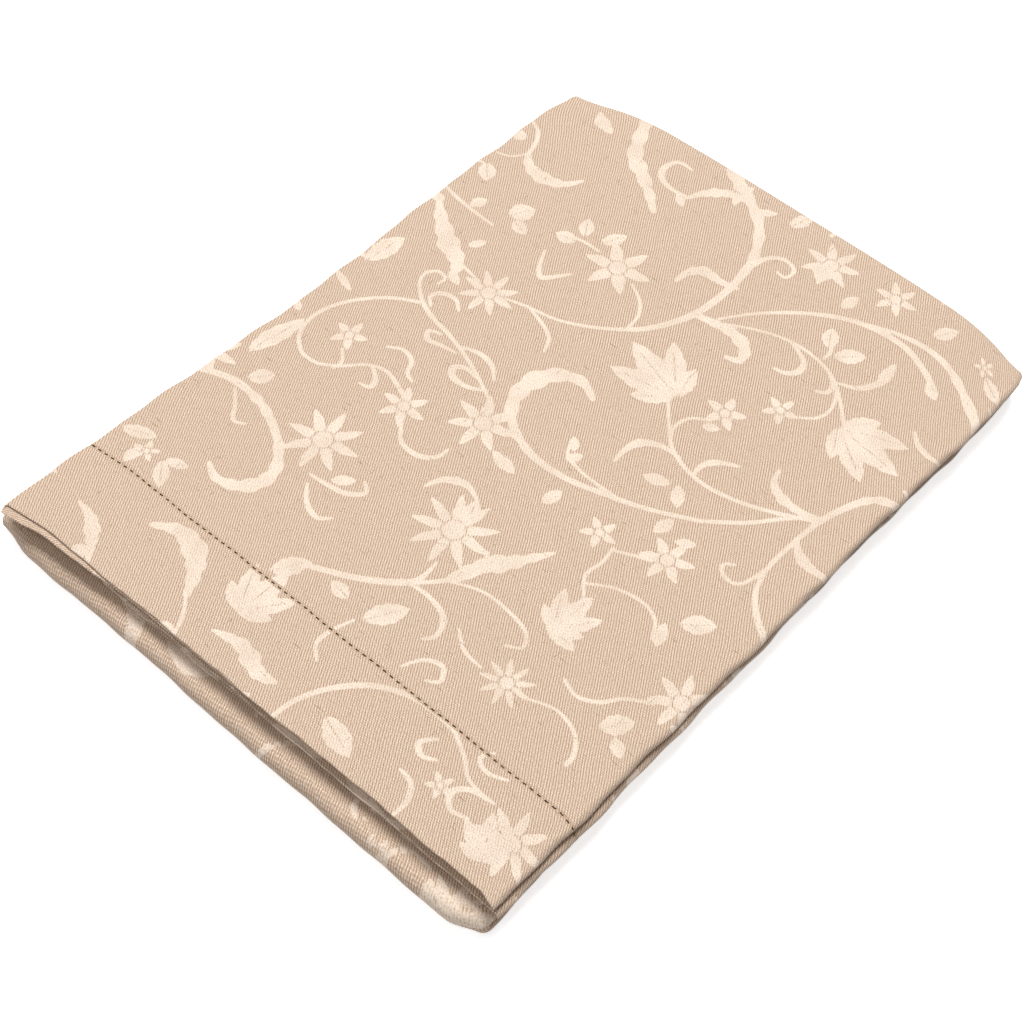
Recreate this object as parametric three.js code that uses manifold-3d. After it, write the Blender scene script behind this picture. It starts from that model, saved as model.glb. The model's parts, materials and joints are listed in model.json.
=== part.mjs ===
// A hemmed damask tablecloth, folded flat into a packet as it is stored or sold.
//
// The cloth was folded twice along its length into a strip four layers thick, and that strip was
// folded twice across. So the packet is a stack of four leaves, each leaf a stretch of the strip:
// the hem ends lie at the front on the two upper leaves, one fold joins the two lower leaves at the
// front, and two folds lie one inside the other at the back. The upper leaves turn together about
// the back edge, which undoes the last fold that was made.
//
// Millimetres. +X along the front edge, +Y from the front hem to the back folds, +Z up. The origin
// is the middle of the packet's underside.
import * as THREE from "three";
import { mergeVertices } from "three/addons/utils/BufferGeometryUtils.js";
import Module from "manifold-3d";

// ---- Driving dimensions -------------------------------------------------------------------------
const PACKET_WIDTH = 368; // one strip, side fold to side fold
const LEAF_LENGTH = 500; // top hem edge to the line where the back folds begin
const SHEET = 0.55; // woven cloth
const CLEAR = 0.3; // air between two layers, and between two neighbouring pieces
const FACE_GAP = 0.4; // between the second and third layers, which lie face to face
const STRIP_GAP = 0.35; // between two leaves
const END_HEM_DEPTH = 60; // the hem across the end of the cloth
const SIDE_HEM_DEPTH = 60; // the hem along the side of the cloth
const HEMSTITCH_WIDTH = 3; // the drawn threads beside the end hem
const SECOND_HEM_PROUD = 5; // the second leaf's hem edge stands this far in front of the top one
const NEAR_FOLD_PROUD = 12; // the front fold stands this far in front of the top hem edge

// How far each leaf lies to the side of the top one, because the folds are made by hand.
const TOP_SHIFT = 0;
const SECOND_SHIFT = 2.5;
const LOWER_SHIFT = -5;

const ARC_STEPS = 4; // facets in each half turn of a side fold or side hem
const OUTER_ARC_STEPS = 6; // facets in the widest side fold
const FOLD_STEPS = 8; // facets in each half turn of a front or back fold

// ---- Heights inside one strip, counted from the face of the fourth layer -------------------------
const TURN_STEP = SHEET + CLEAR; // a hem allowance lies this far behind its layer, centre to centre
const HEM_SPACE = 3 * TURN_STEP; // two layers with both their allowances between them
const V4 = SHEET / 2;
const V3 = V4 + HEM_SPACE;
const V2 = V3 + SHEET + FACE_GAP;
const V1 = V2 + HEM_SPACE;
const STRIP = V1 + SHEET / 2;

// ---- Heights and lines of the packet ------------------------------------------------------------
const HALF_GAP = STRIP_GAP / 2;
const FOLD_AXIS_Z = 2 * STRIP + 1.5 * STRIP_GAP; // axis of both back folds, and of the hinge
const NEAR_AXIS_Z = STRIP + HALF_GAP;
const NEAR_AXIS_Y = STRIP + HALF_GAP - NEAR_FOLD_PROUD;
const OUTER_FOLD_RADIUS = STRIP + 1.5 * STRIP_GAP; // axis to the nearest face of the top leaf
const BACK_Y = LEAF_LENGTH + OUTER_FOLD_RADIUS + STRIP;
const LEFT_X = -PACKET_WIDTH / 2 + Math.min(TOP_SHIFT, SECOND_SHIFT, LOWER_SHIFT);
const RIGHT_X = PACKET_WIDTH / 2 + Math.max(TOP_SHIFT, SECOND_SHIFT, LOWER_SHIFT);

const wasm = await Module();
wasm.setup();

// ---- Materials ----------------------------------------------------------------------------------
const linen = new THREE.MeshStandardMaterial({ color: 0xd9c3ae, roughness: 0.82, metalness: 0 });
const hemLinen = new THREE.MeshStandardMaterial({ color: 0xd3bba4, roughness: 0.86, metalness: 0 });
const thread = new THREE.MeshStandardMaterial({ color: 0xe6d6c4, roughness: 0.7, metalness: 0 });

// ---- The cross-section of a strip ---------------------------------------------------------------
// A section is the line that the middle of the cloth follows, as points with the unit normal that
// points to the cloth's reverse side. It is made of half turns joined by straight runs.
function halfTurn(u, v, radius, fromDeg, toDeg, steps) {
  const points = [];
  const inward = toDeg > fromDeg ? -1 : 1;
  for (let i = 0; i <= steps; i += 1) {
    const angle = THREE.MathUtils.degToRad(fromDeg + ((toDeg - fromDeg) * i) / steps);
    const [cos, sin] = [Math.cos(angle), Math.sin(angle)];
    points.push({ u: u + radius * cos, v: v + radius * sin, nu: inward * cos, nv: inward * sin });
  }
  return points;
}

const LEFT = -PACKET_WIDTH / 2 + SHEET / 2; // middle of the cloth at the left side
const HEM_EDGE_U = -PACKET_WIDTH / 2 + SIDE_HEM_DEPTH; // inner edge of a side hem
const PANEL_EDGE_U = HEM_EDGE_U + CLEAR;
const OUTER_RADIUS = (V1 - V4) / 2;
const INNER_RADIUS = (V2 - V3) / 2;
const LEFT_RADIUS = (V1 - V2) / 2;
const RIGHT_CENTRE = PACKET_WIDTH / 2 - SHEET / 2 - OUTER_RADIUS;
const MID_V = (V1 + V4) / 2;
const UP = { nu: 0, nv: 1 };
const DOWN = { nu: 0, nv: -1 };

const lowerHemTurn = halfTurn(LEFT + TURN_STEP / 2, V4 + TURN_STEP / 2, TURN_STEP / 2, 90, 270, ARC_STEPS);
const upperHemTurn = halfTurn(LEFT + TURN_STEP / 2, V3 - TURN_STEP / 2, TURN_STEP / 2, 90, 270, ARC_STEPS);

// Side hem of the fourth layer, from its cut edge round to the face, and of the third layer.
const lowerSideHem = [
  { u: HEM_EDGE_U, v: V4 + TURN_STEP, ...DOWN },
  ...lowerHemTurn,
  { u: HEM_EDGE_U, v: V4, ...UP },
];
const upperSideHem = [
  { u: HEM_EDGE_U, v: V3, ...DOWN },
  ...upperHemTurn,
  { u: HEM_EDGE_U, v: V3 - TURN_STEP, ...UP },
];
// The cloth between the two side hems: fourth, first, second and third layers.
const panel = [
  { u: PANEL_EDGE_U, v: V4, ...UP },
  ...halfTurn(RIGHT_CENTRE, MID_V, OUTER_RADIUS, -90, 90, OUTER_ARC_STEPS),
  ...halfTurn(LEFT + LEFT_RADIUS, (V1 + V2) / 2, LEFT_RADIUS, 90, 270, ARC_STEPS),
  ...halfTurn(RIGHT_CENTRE, MID_V, INNER_RADIUS, 90, -90, ARC_STEPS),
  { u: PANEL_EDGE_U, v: V3, ...DOWN },
];
const wholeStrip = [...lowerSideHem.slice(0, -1), ...panel.slice(1, -1), ...upperSideHem.slice(1)];

// The closed outline of a cloth that lies from one to the other distance behind the section.
function outline(section, from = -SHEET / 2, to = SHEET / 2) {
  const at = (p, d) => new THREE.Vector2(p.u + d * p.nu, p.v + d * p.nv);
  return [...section.map((p) => at(p, from)), ...section.map((p) => at(p, to)).reverse()];
}

// ---- Solids -------------------------------------------------------------------------------------
// A straight stretch of cloth between two distances from the hem edge. An upright leaf has its
// first layer on top, and the leaf's own Z axis then runs towards the front.
function stretch(points, start, end, upright) {
  const geometry = new THREE.ExtrudeGeometry(new THREE.Shape(points), {
    depth: end - start,
    bevelEnabled: false,
    steps: 1,
  });
  return geometry.translate(0, 0, upright ? -end : start);
}

// A strip carried half a turn round an axis along X. radiusAt gives the distance from the axis of a
// height in the strip, and the strip moves sideways by shift on its way round. The turn starts above
// the axis, and side is +1 for a fold at the back and -1 for one at the front.
function foldedStrip(points, axisY, axisZ, side, radiusAt, topShift, bottomShift) {
  const count = points.length;
  const positions = [];
  for (let i = 0; i <= FOLD_STEPS; i += 1) {
    const share = i / FOLD_STEPS;
    const angle = Math.PI * share;
    const shift = THREE.MathUtils.lerp(topShift, bottomShift, share);
    for (const p of points) {
      const radius = radiusAt(p.y);
      positions.push(p.x + shift, axisY + side * radius * Math.sin(angle), axisZ + radius * Math.cos(angle));
    }
  }
  const faces = [];
  for (let i = 0; i < FOLD_STEPS; i += 1) {
    for (let j = 0; j < count; j += 1) {
      const a = i * count + j;
      const b = i * count + ((j + 1) % count);
      faces.push([a, b, b + count], [a, b + count, a + count]);
    }
  }
  const last = FOLD_STEPS * count;
  for (const [a, b, c] of THREE.ShapeUtils.triangulateShape(points, [])) {
    faces.push([a, c, b], [a + last, b + last, c + last]);
  }
  const geometry = new THREE.BufferGeometry();
  geometry.setAttribute("position", new THREE.Float32BufferAttribute(positions, 3));
  const grows = radiusAt(1) > radiusAt(0);
  const mirrored = grows === side > 0;
  geometry.setIndex(faces.flatMap(([a, b, c]) => (mirrored ? [a, c, b] : [a, b, c])));
  geometry.computeVertexNormals();
  return geometry;
}

function toSolid(geometry) {
  const bare = geometry.clone();
  bare.deleteAttribute("normal");
  bare.deleteAttribute("uv");
  const merged = mergeVertices(bare, 1e-5);
  const vertProperties = new Float32Array(merged.attributes.position.array);
  const triVerts = new Uint32Array(merged.index.array);
  return new wasm.Manifold(new wasm.Mesh({ numProp: 3, vertProperties, triVerts }));
}

function fromSolid(solid) {
  const { vertProperties, triVerts } = solid.getMesh();
  const geometry = new THREE.BufferGeometry();
  geometry.setAttribute("position", new THREE.BufferAttribute(vertProperties, 3));
  geometry.setIndex(new THREE.BufferAttribute(triVerts, 1));
  geometry.computeVertexNormals();
  return geometry;
}

// The end hem: the cloth runs to the edge, turns under there, and runs back behind itself.
function endHem(upright) {
  const allowance = outline(panel, SHEET / 2 + CLEAR, SHEET / 2 + TURN_STEP);
  const edge = outline(panel, -SHEET / 2, SHEET / 2 + TURN_STEP);
  const face = toSolid(stretch(outline(panel), 0, END_HEM_DEPTH, upright));
  const turned = toSolid(stretch(allowance, 0, END_HEM_DEPTH, upright));
  const turn = toSolid(stretch(edge, 0, SHEET, upright));
  return fromSolid(face.add(turned).add(turn));
}

function named(name, geometry, material) {
  const mesh = new THREE.Mesh(geometry, material);
  mesh.name = name;
  return mesh;
}

// ---- Leaves -------------------------------------------------------------------------------------
// A leaf stands in a group on its front line, at the height of its fourth layer's face. proud is how
// far that line is in front of the top hem edge.
function leaf(name, z, shift, proud, upright, meshes) {
  const end = LEAF_LENGTH + proud - CLEAR;
  const group = new THREE.Group();
  group.add(named(name, stretch(outline(panel), meshes.panelStart, end, upright), linen));
  const lower = stretch(outline(lowerSideHem), meshes.sideStart, end, upright);
  const upper = stretch(outline(upperSideHem), meshes.sideStart, end, upright);
  group.add(named(`${name}_outer_side_hem`, lower, hemLinen));
  group.add(named(`${name}_inner_side_hem`, upper, hemLinen));
  for (const mesh of meshes.ends) group.add(mesh);
  group.rotation.x = upright ? Math.PI / 2 : -Math.PI / 2;
  group.position.set(shift, -proud, z);
  return group;
}

function hemmedLeaf(name, z, shift, proud, upright) {
  const stitchStart = END_HEM_DEPTH + CLEAR;
  const stitchEnd = stitchStart + HEMSTITCH_WIDTH;
  const stitches = stretch(outline(panel), stitchStart, stitchEnd, upright);
  const ends = [
    named(`${name}_end_hem`, endHem(upright), hemLinen),
    named(`${name}_hemstitch`, stitches, thread),
  ];
  const panelStart = stitchEnd + CLEAR;
  return leaf(name, z, shift, proud, upright, { panelStart, sideStart: 0, ends });
}

function plainLeaf(name, z, upright) {
  const meshes = { panelStart: CLEAR, sideStart: CLEAR, ends: [] };
  return leaf(name, z, LOWER_SHIFT, -NEAR_AXIS_Y, upright, meshes);
}

// ---- The packet ---------------------------------------------------------------------------------
const strip = outline(wholeStrip);
const outerRadius = (v) => OUTER_FOLD_RADIUS + v;
const innerRadius = (v) => HALF_GAP + STRIP - v;
const nearRadius = (v) => HALF_GAP + v;

const outerFold = foldedStrip(
  strip, LEAF_LENGTH, FOLD_AXIS_Z, 1, outerRadius, TOP_SHIFT, LOWER_SHIFT,
);
const innerFold = foldedStrip(
  strip, LEAF_LENGTH, FOLD_AXIS_Z, 1, innerRadius, SECOND_SHIFT, LOWER_SHIFT,
);
const nearFold = foldedStrip(
  strip, NEAR_AXIS_Y, NEAR_AXIS_Z, -1, nearRadius, LOWER_SHIFT, LOWER_SHIFT,
);

const tablecloth = new THREE.Group();
tablecloth.add(
  hemmedLeaf("top_leaf", FOLD_AXIS_Z + OUTER_FOLD_RADIUS, TOP_SHIFT, 0, true),
  hemmedLeaf("second_leaf", FOLD_AXIS_Z + HALF_GAP + STRIP, SECOND_SHIFT, SECOND_HEM_PROUD, false),
  plainLeaf("third_leaf", NEAR_AXIS_Z + HALF_GAP, true),
  plainLeaf("bottom_leaf", STRIP, false),
  named("outer_back_fold", outerFold, linen),
  named("inner_back_fold", innerFold, linen),
  named("front_fold", nearFold, linen),
);
tablecloth.position.set(-(LEFT_X + RIGHT_X) / 2, -(BACK_Y - NEAR_FOLD_PROUD) / 2, 0);

export default tablecloth;
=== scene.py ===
"""A hemmed linen damask tablecloth, folded into a flat packet.

The cloth is built as it is folded: one section line runs through the four layers of a folded strip,
and the strip is carried along the packet's leaves and round its folds. Lengths are in millimetres
until a mesh is written.
"""

import json
import math

import bpy
import numpy as np
from mathutils import Matrix, Vector


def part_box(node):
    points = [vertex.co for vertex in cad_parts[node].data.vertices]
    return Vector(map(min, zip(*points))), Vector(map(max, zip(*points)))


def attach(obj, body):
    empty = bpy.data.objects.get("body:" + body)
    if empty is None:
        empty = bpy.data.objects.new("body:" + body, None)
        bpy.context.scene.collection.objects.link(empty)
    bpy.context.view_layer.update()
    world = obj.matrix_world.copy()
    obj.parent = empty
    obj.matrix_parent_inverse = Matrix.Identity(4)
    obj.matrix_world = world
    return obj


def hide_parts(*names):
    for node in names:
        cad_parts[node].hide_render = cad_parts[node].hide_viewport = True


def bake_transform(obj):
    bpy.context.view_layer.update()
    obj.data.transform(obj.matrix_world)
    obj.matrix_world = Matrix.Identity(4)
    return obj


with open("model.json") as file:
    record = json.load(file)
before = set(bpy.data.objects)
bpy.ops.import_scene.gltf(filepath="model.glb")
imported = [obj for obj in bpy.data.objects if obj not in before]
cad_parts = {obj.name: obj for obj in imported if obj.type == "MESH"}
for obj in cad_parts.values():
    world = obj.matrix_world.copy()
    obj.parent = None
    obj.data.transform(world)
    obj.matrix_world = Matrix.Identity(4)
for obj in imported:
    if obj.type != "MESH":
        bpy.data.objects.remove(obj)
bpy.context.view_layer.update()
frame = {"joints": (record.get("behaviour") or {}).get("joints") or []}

MM = 0.001

# ---- Camera -------------------------------------------------------------------------------------
CAMERA_PLACE = (0.4697, -0.6362, 0.9611)
CAMERA_AZIMUTH = 37.38  # degrees, from the front towards the right
CAMERA_ELEVATION = 52.03
CAMERA_ROLL = 5.26
CAMERA_LENS = 73.04  # millimetres, on a 36 mm sensor


def make_camera():
    """The scene's camera, turned from its azimuth, elevation and roll."""
    camera = bpy.data.objects.new("camera", bpy.data.cameras.new("camera"))
    bpy.context.scene.collection.objects.link(camera)
    camera.location = CAMERA_PLACE
    turn = Matrix.Rotation(math.radians(CAMERA_AZIMUTH), 3, "Z")
    tilt = Matrix.Rotation(math.radians(90 - CAMERA_ELEVATION), 3, "X")
    roll = Matrix.Rotation(math.radians(CAMERA_ROLL), 3, "Z")
    camera.rotation_euler = (turn @ tilt @ roll).to_euler()
    camera.data.lens = CAMERA_LENS
    camera.data.sensor_width = 36
    camera.data.clip_start = 0.01
    bpy.context.scene.camera = camera


make_camera()


def box_mm(node):
    """Lowest and highest corner of a CAD node, in millimetres."""
    low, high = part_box(node)
    return np.array(low) / MM, np.array(high) / MM


# ---- The frame's own sizes ----------------------------------------------------------------------
TOP_LOW, TOP_HIGH = box_mm("top_leaf_end_hem")
SECOND_LOW, SECOND_HIGH = box_mm("second_leaf_end_hem")
LOWER_LOW, LOWER_HIGH = box_mm("bottom_leaf")
NEAR_LOW, _ = box_mm("front_fold")
_, OUTER_HIGH = box_mm("outer_back_fold")
joint = frame["joints"][0]
HINGE_Y = joint["pos_m"][1] / MM
HINGE_Z = joint["pos_m"][2] / MM

WIDTH = LOWER_HIGH[0] - LOWER_LOW[0]
STRIP = TOP_HIGH[2] - TOP_LOW[2]
HEM_Y = TOP_LOW[1]
HEM_DEPTH = TOP_HIGH[1] - TOP_LOW[1]
LEAF = HINGE_Y - HEM_Y
TOP_X = (TOP_LOW[0] + TOP_HIGH[0]) / 2
SECOND_X = (SECOND_LOW[0] + SECOND_HIGH[0]) / 2
LOWER_X = (LOWER_LOW[0] + LOWER_HIGH[0]) / 2
STRIP_GAP = (OUTER_HIGH[2] - 4 * STRIP) / 3
NEAR_Z = STRIP + STRIP_GAP / 2
NEAR_Y = NEAR_LOW[1] + NEAR_Z

# ---- Cloth --------------------------------------------------------------------------------------
SHEET = 0.55  # thickness of the weave
TURN = 0.85  # a hem allowance lies this far behind its layer
SIDE_HEM = 60.0
BAND = 3.0  # the hemstitched band beside the end hem
RIM_ANGLE = 50  # degrees; a sharper edge than this is a cut rim, and is shaded as one
STITCH_PITCH = 5.0  # from one hole of the hemstitch to the next
STITCH_DIP = 0.2  # the bundled threads lie this much towards the reverse side
STITCH_CELLS = 8  # mesh cells to a pitch
BAND_LINES = 10  # mesh lines across the band
OPEN_CELLS = (3, 4, 5)  # the cells between those lines that a hole takes
FINE = 1.4  # mesh spacing where the figure is seen close
MEDIUM = 2.6  # where it is seen from further off
COARSE = 7.0  # where the cloth is hidden
ALLOWANCE_STEP = 5.0  # along the hem allowance, which is out of sight
REPEAT = np.array([375.0, 517.0])  # one repeat of the woven figure, across and along, in figure units
FIGURE_SCALE = REPEAT[0] / WIDTH  # figure units to a millimetre of cloth
FAR_OUTSIDE = -99.0  # a depth below any that a shape gives
GROUND_DEPTH = -6.0  # the depth of cloth with no figure near it


def smooth(start, end, x):
    """An eased step from 0 at the start to 1 at the end."""
    t = np.clip((x - start) / (end - start), 0, 1)
    return t * t * (3 - 2 * t)


# ---- The woven figure ---------------------------------------------------------------------------
# The places of the stems, leaves, flowers and tulips copy the photographed cloth. They were read,
# one motif at a time, off a flattened view of its top face, and are in figure units, with x
# across the cloth and y along it.
#
# Scrolling stems: widths at the start, middle and end, then points.
STEMS = [
    (9, 7, 5, [(128, 516), (150, 504), (170, 490), (184, 470), (190, 452), (193, 430)]),
    (5, 5, 3, [(193, 430), (192, 405), (187, 385), (176, 364), (162, 350)]),
    (3, 2.5, 2, [(162, 350), (148, 340), (130, 331), (112, 327), (96, 322)]),
    (4, 3, 2, [(190, 452), (194, 468), (203, 475), (213, 472), (213, 463), (206, 463)]),
    (3, 8, 3, [(196, 433), (184, 430), (172, 430), (165, 422), (164, 411)]),
    (4, 9, 3, [(190, 396), (204, 399), (218, 401), (231, 396), (235, 386), (227, 382)]),
    (2, 4, 5, [(204, 404), (220, 427), (243, 449), (270, 464), (300, 468), (322, 462), (336, 455)]),
    (2, 5, 9, [(262, 461), (296, 474), (326, 477), (352, 469), (377, 452)]),
    (2, 2.5, 2.5, [(206, 401), (229, 415), (254, 422), (280, 418), (298, 405), (312, 390)]),
    (2, 5, 2, [(250, 421), (264, 414), (267, 405), (262, 398), (254, 396)]),
    (2, 4, 2, [(279, 419), (289, 411), (290, 403), (284, 399)]),
    (2, 2.5, 2, [(294, 408), (300, 394), (298, 382), (288, 373)]),
    (2, 3, 2, [(272, 424), (272, 431), (269, 437)]),
    (2, 5, 2, [(291, 414), (303, 420), (309, 432), (308, 447)]),
    (2, 3, 3, [(222, 331), (237, 313), (252, 299), (276, 292), (302, 296), (326, 306), (348, 318)]),
    (2, 2.5, 2, [(252, 334), (242, 326), (240, 314), (246, 303)]),
    (2, 5, 2, [(271, 293), (271, 304), (277, 312), (287, 318)]),
    (2, 6, 2, [(257, 298), (243, 297), (233, 290), (230, 280), (231, 268)]),
    (2, 7, 2, [(306, 333), (310, 322), (321, 316), (336, 316), (349, 321)]),
    (7, 5, 3, [(378, 360), (362, 354), (353, 338), (347, 318), (345, 296)]),
    (3, 3, 5, [(345, 296), (345, 272), (350, 252), (362, 237), (378, 226)]),
    (2, 7, 3, [(345, 298), (352, 290), (363, 286), (378, 287)]),
    (2, 3, 2, [(345, 268), (341, 250), (331, 247), (325, 253), (330, 258)]),
    (2, 5, 2, [(348, 418), (355, 411), (366, 408), (378, 410)]),
    (4, 13, 5, [(190, 297), (177, 303), (163, 298), (155, 285), (154, 270), (160, 256), (172, 245)]),
    (6, 4, 3, [(172, 245), (192, 238), (216, 238), (240, 244), (268, 254), (296, 269)]),
    (3, 3, 2.5, [(296, 269), (316, 287), (328, 302), (339, 314)]),
    (2, 2.5, 2, [(204, 259), (209, 252), (226, 248), (250, 248)]),
    (2, 3.5, 2, [(146, 252), (122, 264), (96, 273), (72, 278), (58, 284), (46, 294), (43, 303)]),
    (3, 2.5, 2, [(43, 303), (48, 309), (56, 308), (56, 301)]),
    (2, 4, 2, [(82, 293), (74, 299), (64, 297), (60, 290), (66, 284)]),
    (2, 5, 2, [(139, 257), (130, 251), (118, 250), (112, 256), (118, 261), (128, 260)]),
    (2, 4, 2, [(137, 266), (128, 274), (116, 276), (104, 272)]),
    (2, 4, 2, [(105, 266), (94, 264), (84, 262), (80, 268), (88, 271)]),
    (3, 3, 2.5, [(58, 281), (40, 270), (24, 252), (16, 232), (19, 213), (33, 201), (48, 201)]),
    (2.5, 2.5, 3, [(48, 201), (60, 209), (72, 221), (86, 225), (104, 219)]),
    (2, 2.5, 2, [(50, 220), (58, 212), (58, 205)]),
    (2, 3.5, 2, [(70, 240), (80, 245), (90, 242), (95, 233), (102, 230)]),
    (2, 4, 2, [(74, 223), (84, 216), (86, 209), (79, 207)]),
    (2, 4, 2, [(120, 202), (130, 191), (144, 190), (153, 197), (154, 206)]),
    (4, 14, 4, [(4, 358), (18, 345), (36, 332), (52, 324), (58, 312)]),
    (2, 2.5, 2, [(50, 325), (62, 323), (74, 321)]),
    (3, 3, 2, [(-4, 372), (14, 368), (30, 366), (46, 365)]),
    (2, 2.5, 2, [(168, 356), (166, 370), (158, 381), (146, 388)]),
    (2, 4, 2, [(86, 372), (92, 360), (100, 352), (108, 362), (112, 368)]),
    (2, 3, 2, [(112, 327), (128, 322), (138, 316), (143, 306)]),
    (2, 2.5, 2, [(112, 396), (100, 396), (90, 394)]),
    (8, 11, 4, [(54, 520), (62, 500), (72, 482), (86, 472), (102, 460), (114, 449)]),
    (2, 5, 2, [(108, 498), (97, 498), (93, 488), (98, 478), (110, 474), (124, 476)]),
    (2, 8, 4, [(122, 474), (128, 486), (138, 496), (152, 500)]),
    (2, 3, 3, [(-4, 474), (8, 465), (15, 452), (18, 440)]),
    (3, 11, 2, [(18, 440), (26, 429), (40, 424), (54, 428), (62, 440)]),
    (2, 2, 2, [(18, 440), (12, 430), (2, 426)]),
    (2, 9, 4, [(26, 507), (34, 498), (44, 492)]),
    (4, 6, 5, [(-2, 148), (18, 156), (40, 156), (60, 150), (78, 140)]),
    (6, 10, 3, [(78, 140), (90, 126), (92, 112), (84, 100), (70, 95), (59, 100)]),
    (2, 3, 2, [(26, 152), (36, 143), (44, 134), (52, 137)]),
    (2, 4, 2, [(108, 136), (120, 137), (134, 140), (142, 148), (136, 154)]),
    (2, 4, 2, [(112, 130), (122, 119), (134, 115), (141, 121)]),
    (2, 5, 4, [(206, 140), (207, 126), (203, 117), (192, 107), (176, 96), (156, 86)]),
    (2, 6, 2, [(163, 176), (168, 188), (180, 194), (192, 190)]),
    (3, 12, 2, [(218, 138), (226, 156), (238, 172), (250, 192)]),
    (2, 4, 2, [(204, 117), (218, 134), (228, 152), (222, 166)]),
    (2, 2.5, 2, [(218, 134), (238, 143), (258, 143), (274, 139), (280, 130), (272, 124)]),
    (2, 4, 2, [(200, 117), (218, 119), (234, 114), (240, 102), (236, 94)]),
    (2, 2.5, 2, [(272, 218), (274, 206), (273, 192), (282, 180)]),
    (2, 2.5, 2, [(276, 187), (292, 197), (310, 200), (322, 195), (328, 184)]),
    (2, 2.5, 2, [(272, 216), (284, 222), (294, 226)]),
    (2, 3, 2, [(356, 152), (342, 143), (334, 132), (322, 126), (310, 130)]),
    (2, 2.5, 2, [(246, 114), (258, 105), (272, 103)]),
    (2, 2.5, 3, [(303, 105), (320, 111), (336, 107), (345, 96), (346, 88)]),
    (2, 3, 2, [(200, 76), (196, 62), (196, 50), (204, 42)]),
    (3, 4, 3, [(212, -4), (214, 16), (224, 36), (242, 54), (266, 62), (290, 60)]),
    (3, 2.5, 2, [(290, 60), (304, 52), (314, 44), (330, 42)]),
    (2, 4, 2, [(330, 26), (319, 24), (313, 32), (320, 40), (334, 42)]),
    (2, 4, 2, [(286, 50), (280, 42), (286, 36), (294, 40)]),
    (2, 3.5, 2, [(240, 72), (246, 84), (256, 88), (262, 80), (256, 74)]),
    (4, 14, 4, [(70, 44), (84, 52), (100, 48), (112, 36), (120, 22)]),
    (2, 2.5, 2, [(120, 22), (130, 10), (136, -4)]),
    (2, 11, 3, [(148, 16), (166, 20), (186, 14), (198, 16)]),
    (2, 9, 2, [(28, 26), (42, 22), (54, 12), (64, 0)]),
    (2, 4, 2, [(284, 22), (294, 20), (300, 10), (300, -2)]),
    (2, 3, 2, [(330, 58), (318, 54), (310, 58), (314, 66)]),
]

# Leaves: middle, direction in degrees, length and width.
LEAVES = [
    (265, 441, 118, 18, 10), (283, 437, 42, 22, 11), (309, 440, 95, 26, 7), (256, 474, 80, 16, 8),
    (316, 496, 60, 20, 9), (364, 487, -30, 22, 9), (10, 404, -60, 20, 11), (25, 375, 70, 14, 8),
    (52, 388, 60, 20, 14), (60, 376, -20, 16, 9), (92, 407, 120, 18, 9), (112, 411, 65, 20, 9),
    (88, 391, 190, 16, 10), (50, 345, 60, 14, 6), (8, 300, 80, 34, 14), (11, 200, 84, 46, 12),
    (283, 251, 80, 16, 8), (184, 222, -12, 22, 8), (222, 222, 80, 16, 8), (30, 170, 50, 18, 11),
    (341, 210, 40, 22, 12), (330, 190, -70, 18, 7), (350, 127, 55, 22, 12), (360, 116, -35, 14, 8),
    (210, 92, 60, 30, 13), (180, 86, 170, 16, 9), (12, 88, 20, 24, 9), (45, 74, -50, 22, 9),
    (46, 86, 20, 16, 7), (22, 72, -80, 14, 7), (246, 14, -20, 30, 13), (258, 275, 200, 18, 8),
    (275, 274, -55, 18, 8), (228, 484, 100, 20, 12), (190, 510, 70, 20, 9), (337, 452, -30, 14, 8),
    (290, 150, -10, 26, 9), (120, 470, -40, 14, 6), (205, 262, 130, 12, 6), (212, 254, 60, 12, 6),
    (148, 78, 60, 26, 12), (196, 180, 110, 22, 9), (256, 330, 210, 12, 6), (168, 500, 40, 18, 6),
    (300, 250, 30, 14, 6), (8, 262, -20, 22, 5), (60, 312, 160, 14, 6), (126, 146, 40, 16, 7),
]

# Flowers: middle, radius, petals, turn in degrees.
FLOWERS = [
    (130, 393, 23, 6, 12), (85, 318, 20, 8, 0), (228, 492, 20, 7, 20), (276, 497, 15, 6, 5),
    (255, 345, 14, 5, 30), (278, 371, 12, 5, 10), (155, 236, 22, 7, 15), (45, 231, 13, 5, 20),
    (112, 212, 16, 6, 0), (95, 160, 25, 8, 10), (197, 164, 27, 9, 0), (300, 233, 17, 6, 25),
    (259, 221, 12, 5, 0), (367, 163, 20, 7, 8), (289, 105, 17, 9, 0), (26, 80, 9, 5, 40),
    (356, 30, 22, 8, 12), (306, 30, 9, 5, 0), (145, 502, 12, 5, 0), (350, 497, 8, 5, 0),
]

# Tulips: base, direction in degrees and length.
TULIPS = [
    (312, 386, -8, 50), (226, 333, 160, 52), (284, 150, 86, 34), (148, 34, 84, 40), (352, 12, 120, 30),
]

# Petals of a tulip: turn from its middle in degrees, then length and width as shares of its length.
TULIP_PETALS = ((0, 1.0, 0.30), (30, 0.9, 0.26), (-30, 0.9, 0.26), (58, 0.55, 0.2), (-58, 0.55, 0.2))


def curve(points, per_span=6):
    """A smooth line through the points, by Catmull-Rom."""
    p = np.array([points[0], *points, points[-1]], float)
    out = []
    for i in range(1, len(p) - 2):
        for t in np.arange(per_span) / per_span:
            a = 2 * p[i]
            b = (p[i + 1] - p[i - 1]) * t
            c = (2 * p[i - 1] - 5 * p[i] + 4 * p[i + 1] - p[i + 2]) * t * t
            d = (3 * p[i] - p[i - 1] - 3 * p[i + 1] + p[i + 2]) * t**3
            out.append((a + b + c + d) / 2)
    out.append(p[-2])
    return np.array(out)


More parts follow.
